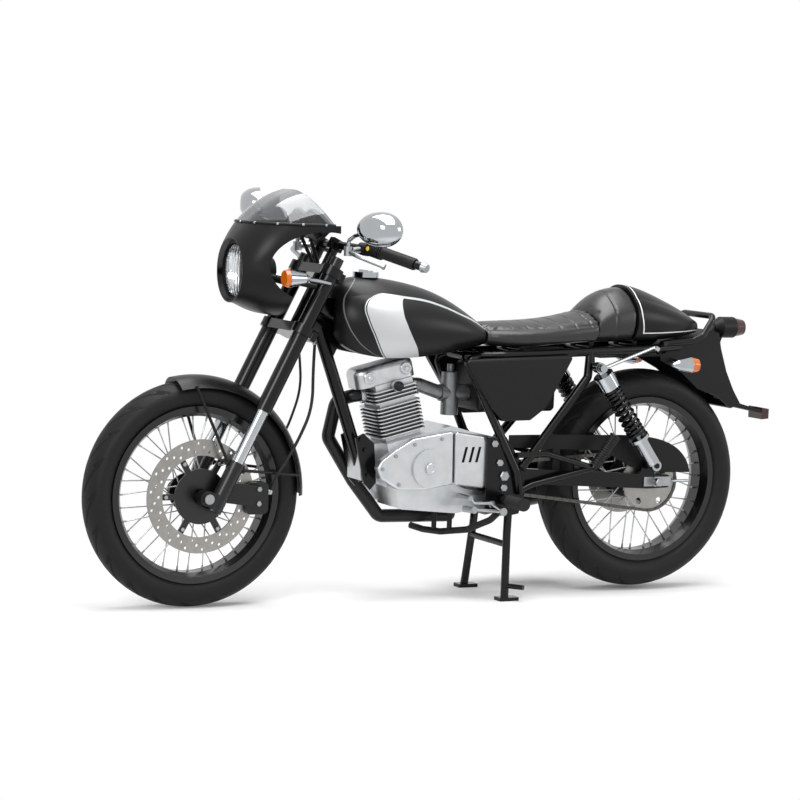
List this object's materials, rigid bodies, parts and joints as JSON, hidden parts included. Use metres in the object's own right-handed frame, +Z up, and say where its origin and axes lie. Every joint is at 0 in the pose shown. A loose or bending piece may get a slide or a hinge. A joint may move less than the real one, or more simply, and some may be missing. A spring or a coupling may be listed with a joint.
{
  "type": "cafe racer motorcycle",
  "caption": "Small cafe racer motorcycle with a bikini fairing, swept tank, solo seat and tail cowl, finned single-cylinder engine and wire wheels, parked upright on its centre stand.",
  "frame": {"origin": "on the floor, under the middle of the machine's length, in its middle plane", "axes": "+X forward towards the headlamp, +Y to the rider's left, +Z up"},
  "size_m": [2.0679, 0.7294, 1.0907],
  "materials": {
    "tyre_rubber": "matt",
    "rim_black": "gloss",
    "hub_steel": "satin",
    "disc_steel": "ground",
    "frame_black": "satin",
    "plated_steel": "polished",
    "slider_black": "painted satin",
    "chrome": "polished",
    "spring_black": "satin",
    "body_black": "satin",
    "engine_silver": "cast, lacquered",
    "plastic_black": "grained",
    "rubber_black": "matt",
    "exhaust_black": "matt heatproof",
    "chain_steel": "oiled",
    "seat_leather": "grained, stitched",
    "lamp_glass": "clear",
    "screen_smoke": "smoked",
    "amber_lens": "clear tinted",
    "red_lens": "clear tinted"
  },
  "bodies": {
    "chassis": {"airbox": "plastic_black", "carburettor": "engine_silver", "chain": "chain_steel", "chain_guard": "plastic_black", "crankcase": "engine_silver", "cylinder": "engine_silver", "cylinder_head": "engine_silver", "engine_covers": "engine_silver", "exhaust": "exhaust_black", "foot_levers": "plated_steel", "footrests": "rubber_black", "frame_main": "frame_black", "frame_rear": "frame_black", "fuel_cap": "chrome", "fuel_tank": "body_black", "grab_rail": "frame_black", "rear_axle": "plated_steel", "rear_caliper": "slider_black", "rear_indicator_lenses": "amber_lens", "rear_indicators": "chrome", "rear_mudguard": "plastic_black", "seat": "seat_leather", "seat_bump": "seat_leather", "seat_cowl": "body_black", "shock_absorbers": "chrome", "shock_springs": "spring_black", "side_covers": "body_black", "swingarm": "frame_black", "tail_lamp": "plastic_black", "tail_lenses": "red_lens"},
    "front_wheel": {"front_tyre": "tyre_rubber", "front_rim": "rim_black", "front_hub": "hub_steel", "front_disc": "disc_steel"},
    "rear_wheel": {"rear_tyre": "tyre_rubber", "rear_rim": "rim_black", "rear_hub": "hub_steel", "rear_disc": "disc_steel", "rear_sprocket": "disc_steel"},
    "centre_stand": {"centre_stand": "frame_black"},
    "steering": {"front_axle": "plated_steel", "fork_tubes": "plated_steel", "fork_covers": "frame_black", "fork_sliders": "slider_black", "yokes": "frame_black", "handlebar": "frame_black", "grips": "rubber_black", "switchgear": "plastic_black", "hand_controls": "plated_steel", "mirrors": "chrome", "headlamp": "plastic_black", "headlamp_lens": "lamp_glass", "fairing": "body_black", "windscreen": "screen_smoke", "instruments": "plastic_black", "front_indicators": "chrome", "front_indicator_lenses": "amber_lens", "front_mudguard": "body_black", "front_caliper": "slider_black", "brake_hose": "rubber_black"}
  },
  "joints": [
    {"name": "steering", "type": "hinge", "parent": "chassis", "child": "steering", "pos_m": [0.42, 0, 0.785], "axis": [-0.4478, 0, 0.8942], "range_deg": [-32, 32]},
    {"name": "front_wheel_spin", "type": "hinge", "parent": "steering", "child": "front_wheel", "pos_m": [0.738, 0, 0.296], "axis": [0, 1, 0], "continuous": true},
    {"name": "rear_wheel_spin", "type": "hinge", "parent": "chassis", "child": "rear_wheel", "pos_m": [-0.612, 0, 0.315], "axis": [0, 1, 0], "continuous": true},
    {"name": "centre_stand_fold", "type": "hinge", "parent": "chassis", "child": "centre_stand", "pos_m": [-0.156, 0, 0.252], "axis": [0, 1, 0], "range_deg": [0, 84]}
  ]
}
